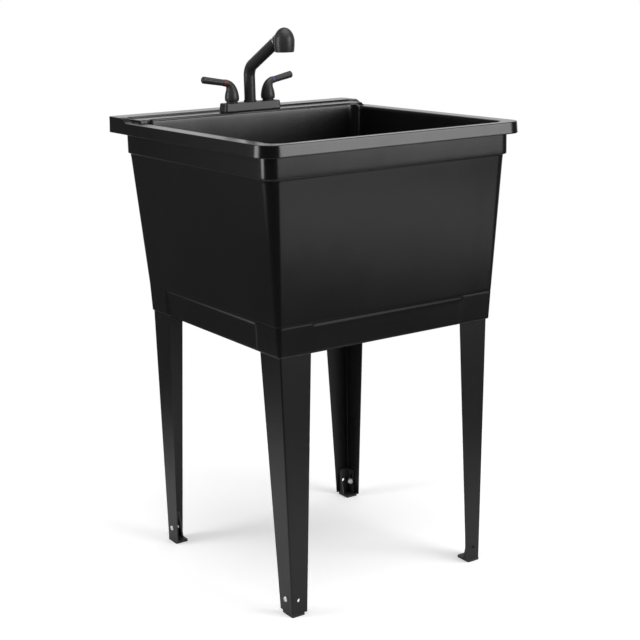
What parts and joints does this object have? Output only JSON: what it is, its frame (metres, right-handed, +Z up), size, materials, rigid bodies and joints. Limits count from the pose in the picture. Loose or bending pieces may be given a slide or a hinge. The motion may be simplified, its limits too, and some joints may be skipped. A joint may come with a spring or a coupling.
{
  "type": "utility laundry sink",
  "caption": "Free-standing moulded utility sink on folded steel legs with levelling feet, with a rear deck, lever handles and a spout whose spray head pulls out.",
  "frame": {"origin": "centre of the rim's outline, on the floor under the levelling feet", "axes": "+Z up, -Y towards the user at the front, +X to the right as seen from the front"},
  "size_m": [0.56, 0.582, 1.0352],
  "materials": {
    "tub_plastic": "satin",
    "leg_paint": "satin",
    "foot_plastic": "satin",
    "screw_steel": "bright zinc",
    "faucet_plastic": "matte",
    "rubber": "matte",
    "white_plastic": "matte",
    "brass": "machined",
    "drain_plastic": "matte",
    "dock_metal": "satin",
    "hot_red": "matte",
    "cold_blue": "matte",
    "hose_grey": "braided"
  },
  "bodies": {
    "stand": {"tub": "tub_plastic", "leg_front_left": "leg_paint", "leg_front_right": "leg_paint", "leg_rear_left": "leg_paint", "leg_rear_right": "leg_paint", "foot_screw_front_left": "screw_steel", "foot_screw_front_right": "screw_steel", "foot_screw_rear_left": "screw_steel", "foot_screw_rear_right": "screw_steel", "foot_nut_front_left": "screw_steel", "foot_nut_front_right": "screw_steel", "foot_nut_rear_left": "screw_steel", "foot_nut_rear_right": "screw_steel", "drain_body": "drain_plastic", "drain_grid": "drain_plastic", "drain_gasket": "rubber", "drain_locknut": "drain_plastic", "drain_tailpiece": "drain_plastic", "drain_slip_washer": "rubber", "drain_slip_nut": "drain_plastic", "faucet_base": "faucet_plastic", "faucet_gasket": "rubber", "hose_guide": "white_plastic", "hose_guide_nut": "white_plastic", "spout_collar": "faucet_plastic", "spout_bush": "white_plastic", "hot_cartridge": "brass", "hot_bonnet": "faucet_plastic", "hot_shank": "white_plastic", "hot_shank_nut": "white_plastic", "cold_cartridge": "brass", "cold_bonnet": "faucet_plastic", "cold_shank": "white_plastic", "cold_shank_nut": "white_plastic"},
    "foot_front_left": {"foot_front_left": "foot_plastic"},
    "foot_front_right": {"foot_front_right": "foot_plastic"},
    "foot_rear_left": {"foot_rear_left": "foot_plastic"},
    "foot_rear_right": {"foot_rear_right": "foot_plastic"},
    "stopper": {"drain_stopper": "rubber"},
    "swivel_spout": {"spout": "faucet_plastic", "spout_o_ring": "rubber", "dock_ring": "dock_metal"},
    "pull_out_spray": {"spray_head": "faucet_plastic", "spray_face": "white_plastic", "spray_hose": "hose_grey", "hose_ferrule": "dock_metal"},
    "hot_lever": {"hot_stem": "brass", "hot_handle": "faucet_plastic", "hot_index_band": "hot_red", "hot_handle_screw": "screw_steel"},
    "cold_lever": {"cold_stem": "brass", "cold_handle": "faucet_plastic", "cold_index_band": "cold_blue", "cold_handle_screw": "screw_steel"}
  },
  "joints": [
    {"name": "spout_swivel", "type": "hinge", "parent": "stand", "child": "swivel_spout", "pos_m": [0, 0.216, 0.9], "axis": [0, 0, 1], "range_deg": [-70, 70]},
    {"name": "spray_pull_out", "type": "slide", "parent": "swivel_spout", "child": "pull_out_spray", "axis": [0, -0.8886, 0.4587], "range_m": [0, 0.06]},
    {"name": "hot_turn", "type": "hinge", "parent": "stand", "child": "hot_lever", "pos_m": [-0.042, 0.216, 0.9], "axis": [0, 0, 1], "range_deg": [0, 90]},
    {"name": "cold_turn", "type": "hinge", "parent": "stand", "child": "cold_lever", "pos_m": [0.042, 0.216, 0.9], "axis": [0, 0, 1], "range_deg": [-90, 0]},
    {"name": "level_front_left", "type": "slide", "parent": "stand", "child": "foot_front_left", "axis": [0.0244, 0.0071, -0.9997], "range_m": [0, 0.015]},
    {"name": "level_front_right", "type": "slide", "parent": "stand", "child": "foot_front_right", "axis": [-0.0244, 0.0071, -0.9997], "range_m": [0, 0.015]},
    {"name": "level_rear_left", "type": "slide", "parent": "stand", "child": "foot_rear_left", "axis": [0.0122, -0.0031, -0.9999], "range_m": [0, 0.015]},
    {"name": "level_rear_right", "type": "slide", "parent": "stand", "child": "foot_rear_right", "axis": [-0.0122, -0.0031, -0.9999], "range_m": [0, 0.015]},
    {"name": "stopper_lift", "type": "slide", "parent": "stand", "child": "stopper", "axis": [0, 0, 1], "range_m": [0, 0.05]}
  ]
}
